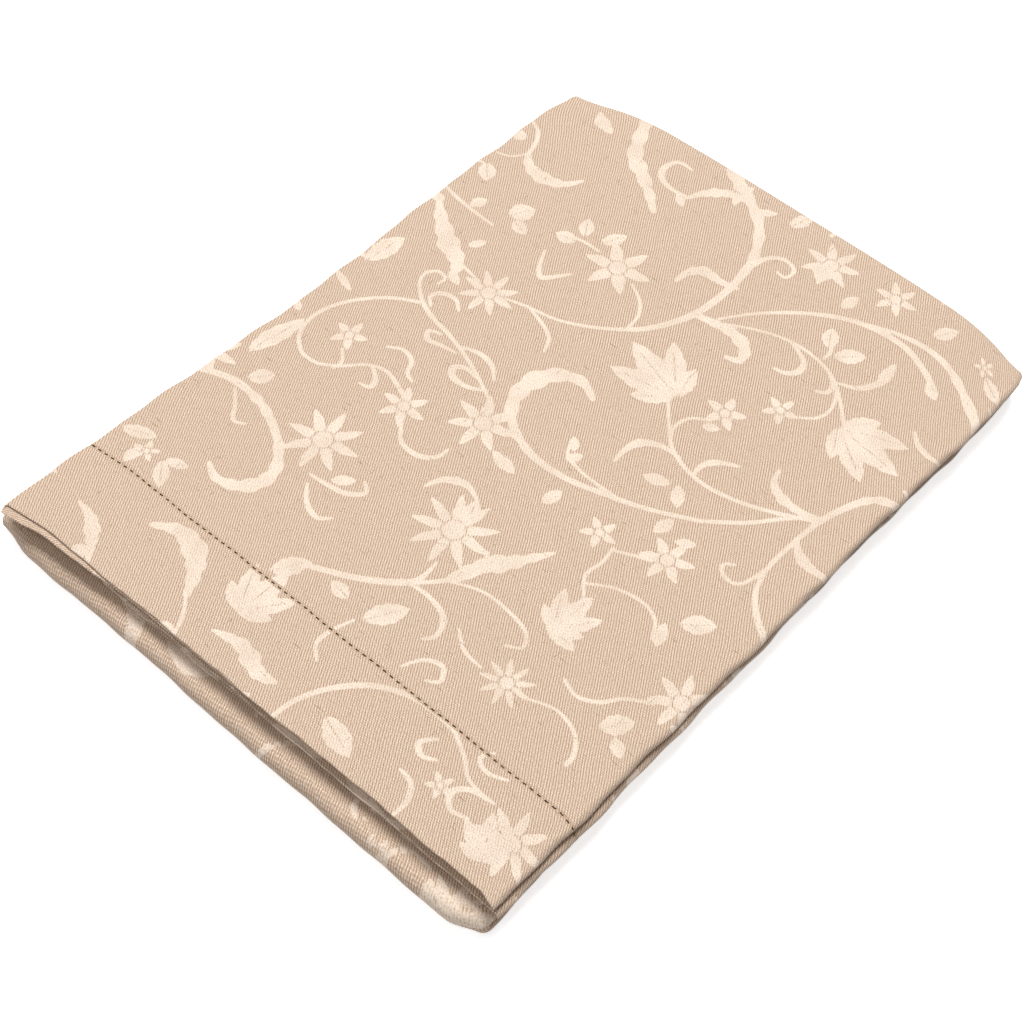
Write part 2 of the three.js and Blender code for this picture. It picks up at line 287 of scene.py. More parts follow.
def stem_depth(q, line, widths):
    """How deep each point lies inside a stem, negative outside."""
    best = np.full(len(q), FAR_OUTSIDE)
    last = len(line) - 1
    for i in range(last):
        a, b = line[i], line[i + 1]
        along = np.clip((q - a) @ (b - a) / max((b - a) @ (b - a), 1e-9), 0, 1)
        gap = np.linalg.norm(q - a - along[:, None] * (b - a), axis=1)
        share = (i + along) / last
        width = np.interp(share, [0, 0.5, 1], widths)
        lobes = 1 + 0.16 * np.sin(share * 40) * (width > 5.5)
        best = np.maximum(best, width * lobes / 2 - gap)
    return best


def turned(q, x, y, degrees):
    """The points as seen from (x, y), along and beside the direction given."""
    c, s = math.cos(math.radians(degrees)), math.sin(math.radians(degrees))
    d = q - (x, y)
    return d[:, 0] * c + d[:, 1] * s, d[:, 1] * c - d[:, 0] * s


def leaf_depth(q, x, y, degrees, length, width):
    """A pointed leaf with notched edges and a midrib of ground weave."""
    along, aside = turned(q, x, y, degrees)
    share = np.clip(along / (length / 2), -1, 1)
    edge = width / 2 * (1 - share**2) * (1 + 0.18 * np.abs(np.sin(share * 7)))
    inside = np.minimum(edge - np.abs(aside), length / 2 - np.abs(along))
    rib = np.abs(aside - 0.3 * np.sin(share * 3)) - 0.45
    return np.where(along < length * 0.3, np.minimum(inside, rib), inside) if width > 8 else inside


def flower_depth(q, x, y, radius, petals, turn):
    """A rosette: petals parted by thin lines of ground weave round a ringed eye."""
    across, up = turned(q, x, y, turn)
    r, angle = np.hypot(across, up), np.arctan2(up, across)
    wave = 1 - np.abs(np.sin(petals * angle / 2))
    outline = radius * (0.40 + 0.62 * wave**0.75 + 0.03 * np.sin(angle * petals * 3))
    from_midrib = r * np.abs(np.sin((angle - np.pi / petals) * petals / 2)) * 2 / petals
    slit = np.abs(r * np.cos(petals * angle / 2) * 2 / petals) - 0.55
    ring = np.abs(r - radius * 0.27) - 0.6
    inside = outline - r
    cut = np.minimum(np.where(r > radius * 0.3, slit, 9.0), ring)
    midrib = np.where((r > radius * 0.42) & (r < radius * 0.8), from_midrib - 0.45, 9.0)
    return np.minimum(np.minimum(inside, cut), midrib if radius > 15 else 9.0)


def tulip_depth(q, x, y, degrees, length):
    """A tulip: petals of leaf shape that fan out from its base."""
    best = np.full(len(q), FAR_OUTSIDE)
    for spread, share, width in TULIP_PETALS:
        reach = length * share
        c, s = math.cos(math.radians(degrees + spread)), math.sin(math.radians(degrees + spread))
        middle = (x + c * reach / 2, y + s * reach / 2)
        best = np.maximum(best, leaf_depth(q, *middle, degrees + spread, reach, length * width))
    return best


# Each kind of motif: its shape, its list, the column that holds its size, and its reach as a share.
MOTIFS = (
    (leaf_depth, LEAVES, 3, 1.0),
    (flower_depth, FLOWERS, 2, 1.2),
    (tulip_depth, TULIPS, 3, 1.0),
)


def figure_depth(cloth):
    """How deep each cloth point (across, along) lies in the woven figure, in millimetres."""
    q = cloth * FIGURE_SCALE
    depth = np.full(len(q), GROUND_DEPTH)
    marks = []
    for start, middle, end, points in STEMS:
        line = curve(points)
        margin = max(start, middle, end)
        facts = (line, (start, middle, end))
        marks.append((line.min(0) - margin, line.max(0) + margin, stem_depth, facts))
    for shape, items, column, share in MOTIFS:
        for item in items:
            centre = np.array(item[:2])
            reach = item[column] * share
            marks.append((centre - reach, centre + reach, shape, item))
    for low, high, shape, facts in marks:
        span_low = np.floor((q.min(0) - high) / REPEAT).astype(int)
        span_high = np.ceil((q.max(0) - low) / REPEAT).astype(int)
        for i in range(span_low[0], span_high[0] + 1):
            for k in range(span_low[1], span_high[1] + 1):
                moved = q - REPEAT * (i, k)
                near = np.flatnonzero(((moved > low - 2) & (moved < high + 2)).all(1))
                if len(near):
                    depth[near] = np.maximum(depth[near], shape(moved[near], *facts))
    return depth / FIGURE_SCALE


# ---- The section of a folded strip --------------------------------------------------------------
# Heights of the four layers, from the face of the fourth.
V4 = SHEET / 2
V3 = V4 + 3 * TURN
V1 = STRIP - SHEET / 2
V2 = V1 - 3 * TURN
LEFT = -WIDTH / 2 + SHEET / 2
OUTER_RADIUS = (V1 - V4) / 2
INNER_RADIUS = (V2 - V3) / 2
LEFT_RADIUS = (V1 - V2) / 2
RIGHT_CENTRE = WIDTH / 2 - SHEET / 2 - OUTER_RADIUS
MID_V = (V1 + V4) / 2


def half_turn(u, v, radius, start, end, steps):
    """Section rows round an arc, each a place and the direction of the cloth's reverse side."""
    angle = np.radians(np.linspace(start, end, steps + 1))
    sign = -1 if end > start else 1
    c, s = np.cos(angle), np.sin(angle)
    return np.stack([u + radius * c, v + radius * s, sign * c, sign * s], 1)


def run(start, end, v, normal, spacing):
    """Section rows along a flat layer, without its two ends."""
    steps = max(2, round(abs(end - start) / spacing))
    u = np.linspace(start, end, steps + 1)[1:-1]
    return np.stack([u, np.full_like(u, v), np.zeros_like(u), np.full_like(u, normal)], 1)


def section(spacing, coarse):
    """Rows of u, v, reverse normal u and v, layer and flat distance, and where its three parts start."""
    hem_u = LEFT + TURN / 2
    hem_end = -WIDTH / 2 + SIDE_HEM
    right = half_turn(RIGHT_CENTRE, MID_V, OUTER_RADIUS, -90, 90, 12)
    left = half_turn(LEFT + LEFT_RADIUS, (V1 + V2) / 2, LEFT_RADIUS, 90, 270, 8)
    inner = half_turn(RIGHT_CENTRE, MID_V, INNER_RADIUS, 90, -90, 6)
    lower_hem = half_turn(hem_u, V4 + TURN / 2, TURN / 2, 90, 270, 6)
    upper_hem = half_turn(hem_u, V3 - TURN / 2, TURN / 2, 90, 270, 6)
    parts = [
        (4, np.array([[hem_end, V4 + TURN, 0, -1]])),
        (4, run(hem_end, hem_u, V4 + TURN, -1, coarse)),
        (4, lower_hem),
        (4, run(hem_u, RIGHT_CENTRE, V4, 1, coarse)),
        (4.5, right),
        (1, run(RIGHT_CENTRE, LEFT + LEFT_RADIUS, V1, -1, spacing)),
        (1.5, left),
        (2, run(LEFT + LEFT_RADIUS, RIGHT_CENTRE, V2, 1, coarse)),
        (2.5, inner),
        (3, run(RIGHT_CENTRE, hem_u, V3, -1, coarse)),
        (3, upper_hem),
        (3, run(hem_u, hem_end, V3 - TURN, 1, coarse)),
        (3, np.array([[hem_end, V3 - TURN, 0, 1]])),
    ]
    rows, layers, starts = [], [], {}
    for layer, part in parts:
        starts.setdefault(layer, len(layers))
        rows.append(part)
        spread = {4.5: (4, 0.9), 1.5: (1, 2), 2.5: (2, 3)}.get(layer)
        if layer == 4.5:
            layers += [4.0 if i < len(part) / 2 else 1.0 for i in range(len(part))]
        elif spread:
            layers += list(np.linspace(*spread, len(part)))
        else:
            layers += [float(layer)] * len(part)
    table = np.concatenate(rows)
    steps = np.hypot(*np.diff(table[:, :2], axis=0).T)
    walked = np.concatenate([[0], np.cumsum(steps)])
    flat = walked[starts[1.5]] - walked
    cuts = (starts[4.5], starts[2] + 1)
    return np.column_stack([table, layers, flat]), cuts


def part_of(table, cuts, which):
    """The face part holds the first layer and both its side folds, and the others what is inside."""
    first, last = cuts
    spans = {
        "under": table[: first + 1],
        "face": table[first:last],
        "inside": table[last - 1 :],
        "all": table,
    }
    return spans[which]


# ---- How the packet lies ------------------------------------------------------------------------
def ripple(x, phase):
    """Small unevenness of a hand-folded edge, under a millimetre."""
    long_wave = 0.45 * np.sin(x / 23 + phase)
    short_wave = 0.25 * np.sin(x / 9.1 + 2.3 * phase)
    return long_wave + short_wave + 0.15 * np.sin(x / 4.3 + phase)


CORNER_PULL = 11.0  # the back corners are drawn in towards the front
BACK_BOW = 3.0  # the back edge bows by this much more
BACK_PUSH = 2.0  # the back fold reaches this much past its plain line
CORNER_NARROW = 3.0  # the back corners are drawn in towards the middle
WAIST = 5.0  # the hollow of the left side
BACK_RISE = 1.5  # the upper leaves rise over the back fold
PUFF = 0.55  # strength of the uneven thickness


def settle(points):
    """Moves points of the plain packet to where the soft cloth lies."""
    x, y, z = points[:, 0].copy(), points[:, 1].copy(), points[:, 2].copy()
    across = (x - TOP_X) / (WIDTH / 2)
    along = y - HEM_Y
    at_back = smooth(330, 500, along)
    corner = smooth(0.55, 1.02, np.abs(across)) ** 2
    y -= (CORNER_PULL * corner + BACK_BOW * across**2) * at_back
    y += BACK_PUSH * np.clip((y - HINGE_Y) / (2 * STRIP), 0, 1)
    x -= CORNER_NARROW * np.sign(across) * smooth(0.8, 1, np.abs(across)) * smooth(482, 512, along)
    waist = np.sin(np.pi * np.clip(along / 470, 0, 1)) ** 2
    x += WAIST * waist * np.exp(-(((across + 1) / 0.35) ** 2))
    uneven = 0.5 * np.sin(along / 31) + 0.45 * np.sin(along / 11.3 + 1) + 0.35 * np.sin(along / 5.7 + z / 3)
    x += uneven * smooth(0.85, 1, np.abs(across))
    lift = 0.05 * np.sin(x / 61 + 0.6) * np.sin(along / 83 + 0.4) + 0.03 * np.sin(x / 29 + along / 47)
    rise = BACK_RISE * (1 - across**2) * np.exp(-(((along - 500) / 60) ** 2))
    upper = smooth(HINGE_Z - 2, HINGE_Z + STRIP, z)
    z *= 1 + lift * PUFF
    z += rise * upper
    return np.stack([x, y, z], 1)


def hem_line(leaf, across, layer):
    """How far behind its plain line a layer's hem edge lies."""
    recess = 4.5 * smooth(-1, -0.82, across) * (1 - 0.6 * smooth(0.93, 1, across))
    if leaf == "top":
        tongue = recess - 4.4 * (1 - smooth(-0.98, -0.28, across)) + 2.5 * smooth(-0.4, 0.6, across)
        rows = [recess, tongue, recess + 4, recess + 5.5]
    else:
        inner = 7.5 - 2 * smooth(-1, -0.6, across)
        rows = [inner, inner + 1.5, inner + 0.5, inner - 2.5 * smooth(-1, 1, across)]
    value = np.zeros_like(across)
    for k in range(4):
        value += rows[k] * np.clip(1 - np.abs(layer - (k + 1)), 0, 1)
    return value


# ---- Mesh ---------------------------------------------------------------------------------------
def cloth_object(name, points, flat, shape, material, solid, holes):
    """A sheet from a grid of points, with its flat cloth coordinates, given the weave's thickness."""
    n, m = shape
    mesh = bpy.data.meshes.new(name)
    index = np.arange(n * m).reshape(n, m)
    quads = np.stack([index[:-1, :-1], index[1:, :-1], index[1:, 1:], index[:-1, 1:]], -1).reshape(-1, 4)
    if holes is not None:
        quads = quads[~holes.reshape(-1)]
    mesh.from_pydata((points * MM).tolist(), [], quads.tolist())
    depth = figure_depth(flat)
    mesh.attributes.new("figure", "FLOAT", "POINT").data.foreach_set("value", depth.astype(np.float32))
    cloth = np.column_stack([flat, np.zeros(len(flat))]).astype(np.float32)
    mesh.attributes.new("cloth", "FLOAT_VECTOR", "POINT").data.foreach_set("vector", cloth.ravel())
    mesh.polygons.foreach_set("use_smooth", [True] * len(mesh.polygons))
    mesh.materials.append(material)
    piece = bpy.data.objects.new(name, mesh)
    bpy.context.scene.collection.objects.link(piece)
    if solid:
        weave = piece.modifiers.new("weave thickness", "SOLIDIFY")
        weave.thickness = SHEET * MM
        weave.offset = 0
        thick = piece.evaluated_get(bpy.context.evaluated_depsgraph_get())
        thick_mesh = bpy.data.meshes.new_from_object(thick)
        thick_mesh.name = name
        thick_mesh.set_sharp_from_angle(angle=math.radians(RIM_ANGLE))
        piece.modifiers.clear()
        piece.data = thick_mesh
        bpy.data.meshes.remove(mesh)
    return piece


# ---- Materials ----------------------------------------------------------------------------------
class Nodes:
    """Short calls for a material's or the world's node tree."""

    def __init__(self, tree):
        self.tree = tree

    def add(self, kind, **values):
        node = self.tree.nodes.new(kind)
        for name, value in values.items():
            setattr(node, name, value)
        return node

    def link(self, source, target):
        self.tree.links.new(source, target)

    def feed(self, socket, value):
        if hasattr(value, "is_output"):
            self.link(value, socket)
        else:
            socket.default_value = value

    def math(self, operation, a, b=0.0, clamp=False):
        node = self.add("ShaderNodeMath", operation=operation, use_clamp=clamp)
        self.feed(node.inputs[0], a)
        self.feed(node.inputs[1], b)
        return node.outputs[0]

    def ramp(self, value, low, high, to_low=0.0, to_high=1.0):
        node = self.add("ShaderNodeMapRange")
        for socket, number in zip(node.inputs[1:5], (low, high, to_low, to_high)):
            socket.default_value = number
        self.link(value, node.inputs[0])
        return node.outputs[0]

    def mix(self, share, a, b):
        node = self.add("ShaderNodeMix", data_type="RGBA")
        self.feed(node.inputs[0], share)
        self.feed(node.inputs[6], a)
        self.feed(node.inputs[7], b)
        return node.outputs[2]

    def noise(self, place, scale, detail=2.0):
        """Noise over the cloth, with its scale across and along."""
        stretch = self.add("ShaderNodeVectorMath", operation="MULTIPLY")
        self.link(place, stretch.inputs[0])
        stretch.inputs[1].default_value = (*scale, 1.0)
        node = self.add("ShaderNodeTexNoise")
        node.inputs["Scale"].default_value = 1.0
        node.inputs["Detail"].default_value = detail
        self.link(stretch.outputs[0], node.inputs["Vector"])
        return node.outputs["Fac"]

    def stripes(self, place, degrees, pitch, wobble):
        """A wave of 0 to 1 across the cloth, for the diagonal lines of a twill."""
        angle = math.radians(degrees)
        dot = self.add("ShaderNodeVectorMath", operation="DOT_PRODUCT")
        self.link(place, dot.inputs[0])
        dot.inputs[1].default_value = (math.cos(angle) / pitch, math.sin(angle) / pitch, 0)
        turns = self.math("ADD", dot.outputs["Value"], wobble)
        wave = self.math("SINE", self.math("MULTIPLY", turns, 2 * math.pi))
        return self.math("MULTIPLY_ADD", wave, 0.5)


def colour(red, green, blue):
    """A linear colour from sRGB numbers of 0 to 255."""
    def linear(c):
        c /= 255
        return c / 12.92 if c <= 0.04045 else ((c + 0.055) / 1.055) ** 2.4
    return (linear(red), linear(green), linear(blue), 1.0)


GROUND = colour(236, 214, 194)
GROUND_DARK = colour(160, 132, 108)
FIGURE = colour(238, 223, 206)
SLUB = colour(128, 100, 76)
THREAD = colour(222, 198, 173)


def weave_material(name, ground, figured=True):
    """Linen damask: a twill ground with slubs, and a figure in lighter satin."""
    material = bpy.data.materials.new(name)
    material.use_nodes = True
    tree = material.node_tree
    tree.nodes.clear()
    n = Nodes(tree)
    place = n.add("ShaderNodeAttribute", attribute_name="cloth").outputs["Vector"]
    depth = n.add("ShaderNodeAttribute", attribute_name="figure").outputs["Fac"]
    yarn = n.noise(place, (0.9, 0.9))
    speck = n.noise(place, (1.5, 1.1), 1.0)
    wobble = n.math("MULTIPLY", n.noise(place, (0.05, 0.05), 1.0), 0.9)
    coarse_twill = n.stripes(place, 30, 1.5, wobble)
    fine_twill = n.stripes(place, 44, 1.0, wobble)
    weft = n.stripes(place, 96, 1.25, wobble)
    satin = n.stripes(place, -65, 1.5, wobble)
    edge = n.math("ADD", depth, n.math("MULTIPLY", n.math("SUBTRACT", yarn, 0.5), 1.1))
    solid = n.ramp(edge, -0.3, 0.35)
    worn = n.ramp(n.noise(place, (0.045, 0.045), 1.0), 0.35, 0.65, 0.62, 0.95)
    stipple = n.ramp(speck, 0.36, 0.56, 0.45, 1.0)
    if figured:
        mask = n.math("MULTIPLY", n.math("MULTIPLY", solid, worn), stipple)
    else:
        mask = n.math("MULTIPLY", depth, 0.0)
    twill = n.math("ADD", n.math("MULTIPLY", coarse_twill, 0.65), n.math("MULTIPLY", fine_twill, 0.35))
    broken = n.math("MULTIPLY", twill, n.ramp(speck, 0.32, 0.62, 0.55, 1.25))
    broken = n.math("MULTIPLY", broken, n.ramp(weft, 0.0, 1.0, 0.62, 1.1))
    tone = n.noise(place, (0.35, 2.4))
    tone_across = n.noise(place, (2.6, 0.16))
    ground_tint = n.mix(n.ramp(broken, 0.05, 0.85, 1.0, 0.0), ground, GROUND_DARK)
    streak_along = n.ramp(tone, 0.35, 0.75, -0.14, 0.24)
    streak_across = n.ramp(tone_across, 0.38, 0.75, -0.12, 0.26)
    streak = n.math("ADD", streak_along, streak_across)
    ground_tint = n.mix(n.math("MAXIMUM", streak, 0.0), ground_tint, GROUND_DARK)
    satin_tint = n.mix(n.ramp(satin, 0.0, 1.0, 0.3, 0.0), FIGURE, ground)
    satin_tint = n.mix(n.ramp(n.noise(place, (0.5, 2.2)), 0.45, 0.75, 0.0, 0.5), satin_tint, ground)
    cloth = n.mix(mask, ground_tint, satin_tint)
    weft_slub = n.ramp(n.noise(place, (0.11, 0.95), 0.0), 0.76, 0.84, 0.0, 0.8)
    warp_slub = n.ramp(n.noise(place, (1.0, 0.09), 0.0), 0.77, 0.85, 0.0, 0.7)
    dashes = n.ramp(speck, 0.46, 0.60, 0.9, 0.0)
    slub = n.math("MULTIPLY", n.math("MAXIMUM", weft_slub, warp_slub), dashes)
    fleck = n.ramp(n.noise(place, (0.8, 0.7), 0.0), 0.80, 0.86, 0.0, 0.7)
    cloth = n.mix(n.math("MAXIMUM", slub, fleck), cloth, SLUB)
    raised = n.math("ADD", n.math("MULTIPLY", mask, 0.35), n.math("MULTIPLY", broken, 0.5))
    raised = n.math("ADD", raised, n.math("MULTIPLY", yarn, 0.5))
    raised = n.math("ADD", raised, n.math("MULTIPLY", n.noise(place, (0.12, 0.10), 1.0), 1.5))
    bump = n.add("ShaderNodeBump")
    bump.inputs["Strength"].default_value = 0.75
    bump.inputs["Distance"].default_value = 0.35 * MM
    n.link(raised, bump.inputs["Height"])
    shader = n.add("ShaderNodeBsdfPrincipled")
    n.link(cloth, shader.inputs["Base Color"])
    n.link(n.ramp(mask, 0, 1, 0.86, 0.6), shader.inputs["Roughness"])
    n.link(bump.outputs["Normal"], shader.inputs["Normal"])
    shader.inputs["Specular IOR Level"].default_value = 0.25
    shader.inputs["Sheen Weight"].default_value = 0.12
    shader.inputs["Sheen Roughness"].default_value = 0.5
    n.link(shader.outputs[0], n.add("ShaderNodeOutputMaterial").inputs[0])
    return material


damask = weave_material("damask linen", GROUND)
hem_weave = weave_material("damask linen hem", GROUND)
stitch = weave_material("hemstitched linen", THREAD, figured=False)

# ---- The pieces ---------------------------------------------------------------------------------
END = HEM_Y + HEM_DEPTH
BAND_END = END + BAND
SHIFT = {"top": TOP_X, "second": SECOND_X, "lower": LOWER_X}
BASE = {
    "top": 3 * (STRIP + STRIP_GAP),
    "second": 3 * STRIP + 2 * STRIP_GAP,
    "third": STRIP + STRIP_GAP,
    "bottom": STRIP,
}
UPRIGHT = {"top": 1, "second": -1, "third": 1, "bottom": -1}
# Lengths along the cloth, round the outer back fold and round the front fold. The inner back fold's
# figure is given the outer one's length.
ARC = math.pi * (STRIP * 1.5 + 1.5 * STRIP_GAP)
NEAR_ARC = math.pi * (STRIP + STRIP_GAP) / 2


def stations(start, end, spacing):
    """Evenly spaced distances from start to end."""
    return np.linspace(start, end, max(2, round(abs(end - start) / spacing)) + 1)


def grid(rows, along):
    """Every section row at every station: the rows repeated, and the stations repeated."""
    return np.repeat(rows[None], len(along), 0).reshape(-1, rows.shape[1]), np.repeat(along, len(rows))


FRONT_PINCH = {"left": 5.0, "right": 6.0}  # how far the front fold's ends are drawn back
FRONT_SPREAD = 4.5  # its right end is spread sideways by this much


def near_front(x):
    """How far in front of the front fold's plain line the cloth reaches."""
    across = (x - LOWER_X) / (WIDTH / 2)
    reach = 1.0 * smooth(-0.9, -0.3, across) + 3.0 * smooth(-0.3, 0.5, across) - 5.0
    pinch_left = FRONT_PINCH["left"] * (1 - smooth(-1.0, -0.84, across))
    pinch_right = FRONT_PINCH["right"] * smooth(0.90, 1.0, across)
    return reach - pinch_left - pinch_right + ripple(x, 1.7)


def front_spread(x):
    """How far the front fold's right end is spread towards the side."""
    return FRONT_SPREAD * smooth(0.6, 1.0, (x - LOWER_X) / (WIDTH / 2))


def leaf_points(leaf, rows, y, offset=0.0):
    """Places section rows along a flat leaf. The offset is towards the reverse side."""
    u = rows[:, 0] + rows[:, 2] * offset
    v = rows[:, 1] + rows[:, 3] * offset
    shift = SHIFT.get(leaf, LOWER_X)
    x = u + shift
    across = u / (WIDTH / 2)
    fade = 1 - smooth(HEM_Y + 20, HEM_Y + 150, y)
    y = y.copy()
    if leaf in ("top", "second"):
        line = hem_line(leaf, across, rows[:, 4]) + ripple(x, rows[:, 4] + (3 if leaf == "top" else 5))
        y += line * fade
        x -= (rows[:, 4] > 2.2) * (rows[:, 4] < 4.1) * 1.2 * fade * (across < -0.8)
    else:
        fade_near = 1 - smooth(NEAR_Y, NEAR_Y + 110, y)
        y -= near_front(x) * fade_near
        x += front_spread(x) * fade_near
    if leaf == "second":
        x -= (SECOND_X - LOWER_X) * smooth(HEM_Y + 60, HINGE_Y, y)
    z = BASE[leaf] + UPRIGHT[leaf] * v
    return settle(np.column_stack([x, y, z]))


def back_points(rows, angle, outer):
    """Places section rows round a back fold, from 0 at the upper leaf to pi at the lower one."""
    share = angle / math.pi
    base = BASE["top"] - HINGE_Z if outer else BASE["second"] - HINGE_Z
    radius = base + rows[:, 1] if outer else base - rows[:, 1]
    upper = TOP_X if outer else LOWER_X
    x = rows[:, 0] + upper + (LOWER_X - upper) * share
    return settle(np.column_stack([x, HINGE_Y + radius * np.sin(angle), HINGE_Z + radius * np.cos(angle)]))


def near_points(rows, angle):
    """Places section rows round the front fold, from 0 at the bottom leaf to pi at the third."""
    radius = STRIP_GAP / 2 + rows[:, 1]
    x = rows[:, 0] + LOWER_X
    y = NEAR_Y - radius * np.sin(angle) - near_front(x)
    return settle(np.column_stack([x + front_spread(x), y, NEAR_Z - radius * np.cos(angle)]))


def cloth_flat(rows, along):
    """Flat cloth coordinates: across from the left of the top face, and along from the hem edge."""
    return np.column_stack([rows[:, 5], along])


def add_cloth(name, places, shape, flat, material, body, solid=True, holes=None):
    """One piece of the cloth, riding on a body, or else baked into place where it lies."""
    piece = cloth_object(name, places, flat, shape, material, solid, holes)
    if isinstance(body, str):
        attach(piece, body)
    else:
        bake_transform(piece)
    return piece


def declare(piece, flat, length=None):
    """Works out a piece's flat length in metres; nothing is done with it."""
    length = (length or np.ptp(flat[:, 1])) * MM


ROWS = {}


def rows_of(part, spacing):
    """The section rows of one part, worked out once for each spacing of the top layer."""
    key = (part, spacing)
    if key not in ROWS:
        table, cuts = section(spacing, COARSE)
        ROWS[key] = part_of(table, cuts, part)
    return ROWS[key]


PARTS = ("face", "inside", "under")
ALONG_START = {"top": 0.0, "second": 4 * LEAF + 2 * ARC + NEAR_ARC}


def flat_along(leaf, y):
    """Distance along the flat cloth, from the top leaf's hem edge."""
    return y - HEM_Y if leaf == "top" else ALONG_START["second"] - (y - HEM_Y)


def make_leaf(leaf, body, spacing):
    """The cloth of one hemmed leaf, behind its end hem."""
    for part in PARTS:
        close = part == "face"
        step = spacing if close else COARSE
        rows, y = grid(rows_of(part, step), stations(BAND_END, HINGE_Y, step))
        shape = (len(stations(BAND_END, HINGE_Y, step)), len(rows_of(part, step)))
        thick = not (close and leaf == "top")
        flat = cloth_flat(rows, flat_along(leaf, y))
        places = leaf_points(leaf, rows, y, 0.0 if thick else -SHEET / 2)
        declare(add_cloth(f"{leaf}_leaf_{part}", places, shape, flat, damask, body, thick), flat)


def make_hem(leaf, body, spacing, bands):
    """The end hem: the cloth turned back on itself round the hem's edge, all round the section."""
    half = TURN / 2
    turn = np.radians(np.linspace(0, 180, 9))
    back = stations(END, HEM_Y + half, ALLOWANCE_STEP)[:-1]
    front = stations(HEM_Y + half, END, spacing)[1:]
    y_line = np.concatenate([back, HEM_Y + half - half * np.sin(turn), front])
    offset = np.concatenate([np.full(len(back), TURN), half + half * np.cos(turn), np.zeros(len(front))])
    for part in PARTS:
        section_rows = rows_of(part, spacing if part == "face" else MEDIUM)
        rows, y = grid(section_rows, y_line)
        behind = np.repeat(offset, len(section_rows))
        flat = cloth_flat(rows, flat_along(leaf, y))
        piece = add_cloth(f"{leaf}_hem_{part}", leaf_points(leaf, rows, y, behind),
                          (len(y_line), len(section_rows)), flat, hem_weave, body)
        declare(piece, flat, 2 * HEM_DEPTH)


def make_hemstitch(leaf, body):
    """The drawn-thread band: bundled threads with a row of small holes between them."""
    cell = STITCH_PITCH / STITCH_CELLS
    bands = []
    y_line = np.linspace(END, BAND_END, BAND_LINES)
    for part in PARTS:
        coarse = leaf != "top" and part != "face"
        table, cuts = section(cell, COARSE if coarse else cell)
        section_rows = part_of(table, cuts, part)
        rows, y = grid(section_rows, y_line)
        dip = STITCH_DIP * np.sin(np.pi * (y - END) / BAND) ** 2
        shape = (len(y_line), len(section_rows))
        across = (section_rows[:-1, 5] + section_rows[1:, 5]) / 2
        open_rows = np.isin(np.arange(len(y_line) - 1), OPEN_CELLS)
        open_cell = (across % STITCH_PITCH < STITCH_PITCH / 2)[None] & open_rows[:, None]
        holes = None if coarse else open_cell
        band = add_cloth(f"{leaf}_hemstitch_{part}", leaf_points(leaf, rows, y, dip), shape,
                         cloth_flat(rows, flat_along(leaf, y)), stitch, body, holes=holes)
        bands.append([band])
    return bands


def make_lower():
    """The two lower leaves and the front fold that joins them."""
    for part in PARTS:
        step = MEDIUM * 1.3 if part == "face" else COARSE
        section_rows = rows_of(part, step)
        bottom = stations(HINGE_Y, NEAR_Y, step)
        angles = np.linspace(0, math.pi, 21)[1:-1]
        third = stations(NEAR_Y, HINGE_Y, step)
        places, along = [], []
        start = LEAF + ARC
        rows, y = grid(section_rows, bottom)
        places.append(leaf_points("bottom", rows, y))
        along.append(start + HINGE_Y - y)
        rows, angle = grid(section_rows, angles)
        places.append(near_points(rows, angle))
        along.append(start + HINGE_Y - NEAR_Y + NEAR_ARC * angle / math.pi)
        rows, y = grid(section_rows, third)
        places.append(leaf_points("third", rows, y))
        along.append(start + HINGE_Y - NEAR_Y + NEAR_ARC + y - NEAR_Y)
        count = len(bottom) + len(angles) + len(third)
        rows = np.tile(section_rows, (count, 1))
        flat = cloth_flat(rows, np.concatenate(along))
        piece = add_cloth(f"lower_leaves_{part}", np.concatenate(places), (count, len(section_rows)),
                          flat, damask, "lower_leaves")
        declare(piece, flat)


def make_back_fold(outer):
    """The cloth that goes round the hinge line, from an upper leaf to a lower one."""
    name = "outer_back_fold" if outer else "inner_back_fold"
    leaf = "top_leaf" if outer else "second_leaf"
    reach = BASE["top"] - HINGE_Z + STRIP / 2 if outer else BASE["second"] - HINGE_Z
    start = (0, HINGE_Y * MM, (HINGE_Z + reach) * MM)
    end = (0, HINGE_Y * MM, (HINGE_Z - reach) * MM)
    if outer:
        middle_radius = HINGE_Z - (BASE["bottom"] - STRIP / 2)
    else:
        middle_radius = reach - STRIP / 2
    angles = np.linspace(0, math.pi, 41 if outer else 25)
    for part in PARTS if outer else ("all",):
        section_rows = rows_of(part, FINE if outer else MEDIUM)
        rows, angle = grid(section_rows, angles)
        walked = LEAF + ARC * angle / math.pi
        along = walked if outer else ALONG_START["second"] - LEAF - ARC * angle / math.pi
        flat = cloth_flat(rows, along)
        piece = add_cloth(f"{name}_{part}", back_points(rows, angle, outer), (len(angles), len(section_rows)),
                          flat, damask, ((leaf, "lower_leaves"), start, end))
        declare(piece, flat, math.pi * middle_radius)


make_leaf("top", "top_leaf", FINE)
make_hem("top", "top_leaf", FINE, make_hemstitch("top", "top_leaf"))
make_leaf("second", "second_leaf", MEDIUM * 1.15)
make_hem("second", "second_leaf", MEDIUM, make_hemstitch("second", "second_leaf"))
make_lower()
make_back_fold(outer=True)
make_back_fold(outer=False)
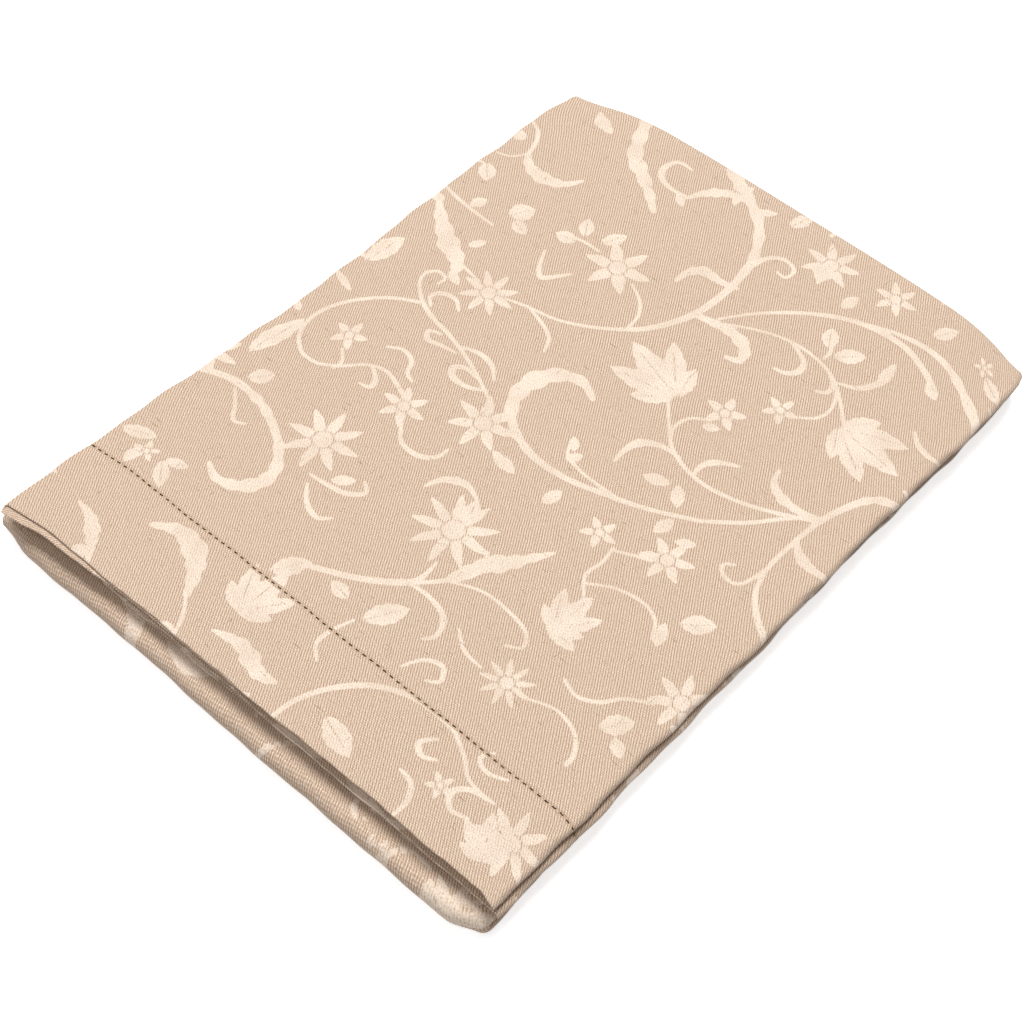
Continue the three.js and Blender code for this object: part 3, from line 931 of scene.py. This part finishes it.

# ---- The CAD parts that the cloth takes the place of are hidden ---------------------------------
SIDE_HEMS = ("outer_side_hem", "inner_side_hem")
for leaf in ("top", "second"):
    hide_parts(f"{leaf}_leaf")
    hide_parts(*[f"{leaf}_leaf_{hem}" for hem in SIDE_HEMS])
    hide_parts(f"{leaf}_leaf_end_hem")
    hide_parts(f"{leaf}_leaf_hemstitch")
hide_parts("third_leaf", "bottom_leaf", "front_fold")
lower_hems = [f"{leaf}_leaf_{hem}" for leaf in ("third", "bottom") for hem in SIDE_HEMS]
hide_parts(*lower_hems)
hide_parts("outer_back_fold")
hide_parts("inner_back_fold")

# ---- Floor, background and light ----------------------------------------------------------------
FLOOR_COLOUR = (0.72, 0.72, 0.72, 1)
FLOOR_GLOW = 0.72  # added where the floor is seen, so that it looks white
FLOOR_HALF = 4.0  # metres
AMBIENT = 0.16
FLOOR_CENTRE = (0, 0, 0)


def seen(n):
    """1 for what the camera sees, straight or by a mirror or glass, and 0 for other light."""
    path = n.add("ShaderNodeLightPath")
    direct = n.math("MAXIMUM", path.outputs["Is Camera Ray"], path.outputs["Is Glossy Ray"])
    return n.math("MAXIMUM", direct, path.outputs["Is Transmission Ray"])


def make_floor():
    """A pale floor that looks white where it is seen and still takes the cloth's shadow."""
    mesh = bpy.data.meshes.new("floor")
    half = FLOOR_HALF
    corners = [(-half, -half, 0), (half, -half, 0), (half, half, 0), (-half, half, 0)]
    mesh.from_pydata(corners, [], [(0, 1, 2, 3)])
    floor = bpy.data.objects.new("floor", mesh)
    bpy.context.scene.collection.objects.link(floor)
    material = bpy.data.materials.new("pale floor")
    material.use_nodes = True
    material.node_tree.nodes.clear()
    n = Nodes(material.node_tree)
    diffuse = n.add("ShaderNodeBsdfDiffuse")
    diffuse.inputs["Color"].default_value = FLOOR_COLOUR
    glow = n.add("ShaderNodeEmission")
    n.link(n.math("MULTIPLY", seen(n), FLOOR_GLOW), glow.inputs["Strength"])
    both = n.add("ShaderNodeAddShader")
    n.link(diffuse.outputs[0], both.inputs[0])
    n.link(glow.outputs[0], both.inputs[1])
    n.link(both.outputs[0], n.add("ShaderNodeOutputMaterial").inputs[0])
    mesh.materials.append(material)


def make_world():
    """Even light from all round, with a white background where it is seen."""
    world = bpy.data.worlds.new("studio")
    bpy.context.scene.world = world
    world.use_nodes = True
    world.node_tree.nodes.clear()
    n = Nodes(world.node_tree)
    back = n.add("ShaderNodeBackground")
    back.inputs["Color"].default_value = (1, 1, 1, 1)
    n.link(n.ramp(seen(n), 0, 1, AMBIENT, 1.0), back.inputs["Strength"])
    n.link(back.outputs[0], n.add("ShaderNodeOutputWorld").inputs[0])


def make_lamp(name, place, size, power):
    """A square softbox that shines at the middle of the floor, size in metres and power in watts."""
    lamp = bpy.data.objects.new(name, bpy.data.lights.new(name, "AREA"))
    bpy.context.scene.collection.objects.link(lamp)
    lamp.data.shape = "SQUARE"
    lamp.data.size = size
    lamp.data.energy = power
    lamp.location = place
    lamp.rotation_euler = (Vector(FLOOR_CENTRE) - Vector(place)).to_track_quat("-Z", "Y").to_euler()


make_floor()
make_world()
make_lamp("main softbox", place=(-0.75, 1.30, 4.60), size=2.2, power=262)
make_lamp("fill softbox", place=(-0.2, -1.5, 2.4), size=1.4, power=17)
bpy.context.scene.view_settings.view_transform = "Standard"
